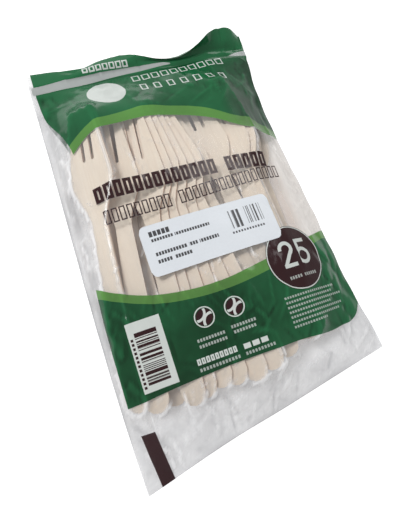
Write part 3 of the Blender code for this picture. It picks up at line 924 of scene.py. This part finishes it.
# Painted warm shade for the sides and undersides
SIDE_SHADE_COLOUR = (0.60, 0.36, 0.23)
GRAIN_NOISE = (900.0, 4.0, (1.0, 0.03, 1.0), 0.6)
BROAD_NOISE = (40.0, 2.0, (1.0, 0.25, 1.0))
GRAIN_GAIN = 1.5
GRAIN_SHARE = 0.5
SIDE_SOFT = 0.2
BIRCH_BUMP = (0.2, 0.0002)
HANDLE_PACE = -14.0
HANDLE_START = 0.1
HANDLE_MOST = 0.75
BIRCH_ROUGHNESS = 0.62


def birch_material():
    made, tree, shader = new_material("birch")
    grain = noise(tree, *GRAIN_NOISE)
    broad = noise(tree, *BROAD_NOISE)
    pale = mixed(tree, broad, BIRCH_DARK, BIRCH_LIGHT)
    colour = mixed(tree, (grain * GRAIN_GAIN - 0.5).mask(1.0) * GRAIN_SHARE, pale, GRAIN_COLOUR)
    along = position_of(tree, "Object", 1)
    # Darker and browner further down the bag
    downward = (along * HANDLE_PACE + HANDLE_START).most(0.0).least(HANDLE_MOST)
    colour = mixed(tree, downward, colour, DOWNWARD_COLOUR)
    # Sides and undersides get painted warm shade
    edge = (position_of(tree, "Normal", 2) * -1.0 + 0.5).mask(SIDE_SOFT)
    colour = mixed(tree, edge, colour, SIDE_SHADE_COLOUR)
    tree.links.new(colour, shader.inputs["Base Color"])
    shader.inputs["Roughness"].default_value = BIRCH_ROUGHNESS
    bumped(tree, shader, grain, *BIRCH_BUMP)
    return made


# The sticker's print, from its middle
STICKER_LINES = (
    Line(-33.0, 7.2, 2.9, 2.3, 0.5, ((5, 0),)),
    Line(-32.6, 4.4, 1.6, 1.5, 0.4, ((8, 0.6), (13, 0))),
    Line(-32.6, -3.4, 1.9, 1.55, 0.4, ((11, 0.8), (3, 0.8), (7, 0))),
    Line(-32.6, -7.4, 1.9, 1.55, 0.4, ((5, 1), (6, 0))),
    Line(10.0, -4.4, 1.2, 1.7, 0.7, ((12, 0),)),
)
STICKER_BARS = (Box(10.6, 19.6, -1.6, 8.8), Box(21.6, 31.2, -1.0, 9.2))
STICKER_BARS_PER_MM = 2.1
PAPER_DARK, PAPER_LIGHT = (0.70, 0.735, 0.775), (0.76, 0.795, 0.84)
PAPER_INK = (0.05, 0.05, 0.055)
PAPER_ROUGHNESS = 0.34
SPECK_SCALE = 900.0
PAPER_BUMP = (0.1, 0.0001)


def paper_material():
    made, tree, shader = new_material("sticker_paper")
    x, y = print_place(tree)
    shapes = [blocks(x, y, line) for line in STICKER_LINES]
    shapes += [uneven_bars(x, y, box, STICKER_BARS_PER_MM) for box in STICKER_BARS]
    speck = noise(tree, SPECK_SCALE)
    paper = mixed(tree, speck, PAPER_DARK, PAPER_LIGHT)
    colour = mixed(tree, shapes[0].most(*shapes[1:]).mask(), paper, PAPER_INK)
    tree.links.new(colour, shader.inputs["Base Color"])
    shader.inputs["Roughness"].default_value = PAPER_ROUGHNESS
    bumped(tree, shader, speck, *PAPER_BUMP)
    return made


# The sticker, in mm: its size, place, turn and corners, and how it lies on the film
LABEL_SIZE = (75.0, 27.4)
LABEL_AT = (-2.9, -13.1)
LABEL_TURN = math.radians(0.9)
LABEL_CORNER = 3.5
LABEL_COLUMNS = 74
LABEL_ROWS = 30
LABEL_LIFT = 0.16
LABEL_PAPER = 0.1
LABEL_SMOOTHING = 12


def label_plan():
    half_wide, half_tall = LABEL_SIZE[0] / 2, LABEL_SIZE[1] / 2
    x = np.tile(np.linspace(-1, 1, LABEL_COLUMNS) * half_wide, (LABEL_ROWS, 1))
    inset = np.maximum(np.abs(x) - (half_wide - LABEL_CORNER), 0)
    tall = half_tall - LABEL_CORNER + np.sqrt(np.maximum(LABEL_CORNER**2 - inset**2, 0))
    return x, np.linspace(-1, 1, LABEL_ROWS)[:, None] * tall


def label_object(film_tree):
    x, y = label_plan()
    px = LABEL_AT[0] + x * math.cos(LABEL_TURN) - y * math.sin(LABEL_TURN)
    py = LABEL_AT[1] + x * math.sin(LABEL_TURN) + y * math.cos(LABEL_TURN)
    z = heights_over(film_tree, px, py, math.nan)
    if np.isnan(z).any():
        raise ValueError("the sticker reaches past the film")
    soft = smoothed(widened(widened(z)), LABEL_SMOOTHING)
    z = np.maximum(soft, widened(z)) + LABEL_LIFT
    mesh = smooth_mesh("paper_sticker", grid_points(px, py, z), grid_faces(x.shape))
    add_uv(mesh, np.stack([x, y], -1).reshape(-1, 2))
    made = linked("paper_sticker", mesh)
    solid = made.modifiers.new("Paper", "SOLIDIFY")
    solid.thickness = LABEL_PAPER * MM
    solid.offset = 1.0
    made.modifiers.new("Rim", "EDGE_SPLIT")
    return made


# The pieces, each on the root body in place of its solid
grids = film_grids()
film = film_object(grids)
film.data.materials.append(film_material())
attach(film, "root")
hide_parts("film_bag")

front_body = [g[: BODY_ROWS + 1] for g in grids[0]]
film_points = [Vector(p) for p in grid_points(*front_body)]
label = label_object(BVHTree.FromPolygons(film_points, grid_faces(front_body[0].shape)))
label.data.materials.append(paper_material())
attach(label, "root")
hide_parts("label_sticker")

birch = birch_material()
for name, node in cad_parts.items():
    if name.startswith("fork"):
        for s in node.material_slots:
            s.material = birch


# Stage, light and camera, in metres
FLOOR_REACH = 3
FLOOR_DROP = 0.0001
FLOOR_COLOUR = (0.92, 0.92, 0.92, 1)
FLOOR_ROUGHNESS = 0.9
FLOOR_GLOW = 0.42
GLOSSY_GLOW = 0.3
SKY_STRENGTH = 0.42
WHITE = (1, 1, 1, 1)
KEY_AT, KEY_SIZE, KEY_POWER = (-0.55, 0.35, 0.9), 0.3, 6.5
FILL_AT, FILL_SIZE, FILL_POWER = (0.6, 0.5, 0.9), 0.5, 2.5
# The camera fitted to the photo, which is this many pixels wide and has this focal length in pixels
PICTURE_WIDTH = 401
FOCAL_LENGTH = 370
SENSOR_WIDTH = 36.0
CLIP_START = 0.01
CAMERA_AT = (-0.05918, -0.06466, 0.20212)
CAMERA_RIGHT = Vector((0.9294, -0.33409, 0.15685))
CAMERA_UP = Vector((0.2818, 0.9168, 0.283))


def stage_floor():
    mesh = bpy.data.meshes.new("floor")
    corners = [(FLOOR_REACH * i, FLOOR_REACH * j, 0) for i, j in ((-1, -1), (1, -1), (1, 1), (-1, 1))]
    mesh.from_pydata(corners, [], [(0, 1, 2, 3)])
    floor = linked("floor", mesh)
    floor.location = (0, 0, -FLOOR_DROP)
    made, tree, shader = new_material("floor")
    shader.inputs["Base Color"].default_value = FLOOR_COLOUR
    shader.inputs["Roughness"].default_value = FLOOR_ROUGHNESS
    shader.inputs["Specular IOR Level"].default_value = 0.0
    path = tree.nodes.new("ShaderNodeLightPath")
    glossy = Field(tree, path.outputs["Is Glossy Ray"]) * GLOSSY_GLOW
    through = Field(tree, path.outputs["Is Transmission Ray"])
    seen = Field(tree, path.outputs["Is Camera Ray"]).most(glossy, through)
    shader.inputs["Emission Color"].default_value = WHITE
    tree.links.new((seen * FLOOR_GLOW).socket, shader.inputs["Emission Strength"])
    mesh.materials.append(made)


def area_light(name, place, size, power):
    data = bpy.data.lights.new(name, "AREA")
    data.shape = "RECTANGLE"
    data.size, data.size_y = size, size
    data.energy = power
    made = linked(name, data)
    made.location = place
    made.rotation_euler = (-Vector(place)).to_track_quat("-Z", "Y").to_euler()


def set_world():
    world = bpy.data.worlds.new("studio")
    world.use_nodes = True
    sky = world.node_tree.nodes["Background"]
    sky.inputs["Color"].default_value = WHITE
    path = world.node_tree.nodes.new("ShaderNodeLightPath")
    camera_ray = Field(world.node_tree, path.outputs["Is Camera Ray"])
    strength = camera_ray * (1 - SKY_STRENGTH) + SKY_STRENGTH
    world.node_tree.links.new(strength.socket, sky.inputs["Strength"])
    bpy.context.scene.world = world


def set_camera():
    data = bpy.data.cameras.new("camera")
    data.sensor_fit = "HORIZONTAL"
    data.sensor_width = SENSOR_WIDTH
    data.lens = SENSOR_WIDTH * FOCAL_LENGTH / PICTURE_WIDTH
    data.clip_start = CLIP_START
    made = linked("camera", data)
    turn = Matrix((CAMERA_RIGHT, CAMERA_UP, CAMERA_RIGHT.cross(CAMERA_UP))).transposed().to_4x4()
    made.matrix_world = Matrix.Translation(CAMERA_AT) @ turn
    bpy.context.scene.camera = made


stage_floor()
set_world()
area_light("key", KEY_AT, KEY_SIZE, KEY_POWER)
area_light("fill", FILL_AT, FILL_SIZE, FILL_POWER)
set_camera()
bpy.context.scene.view_settings.view_transform = "Standard"
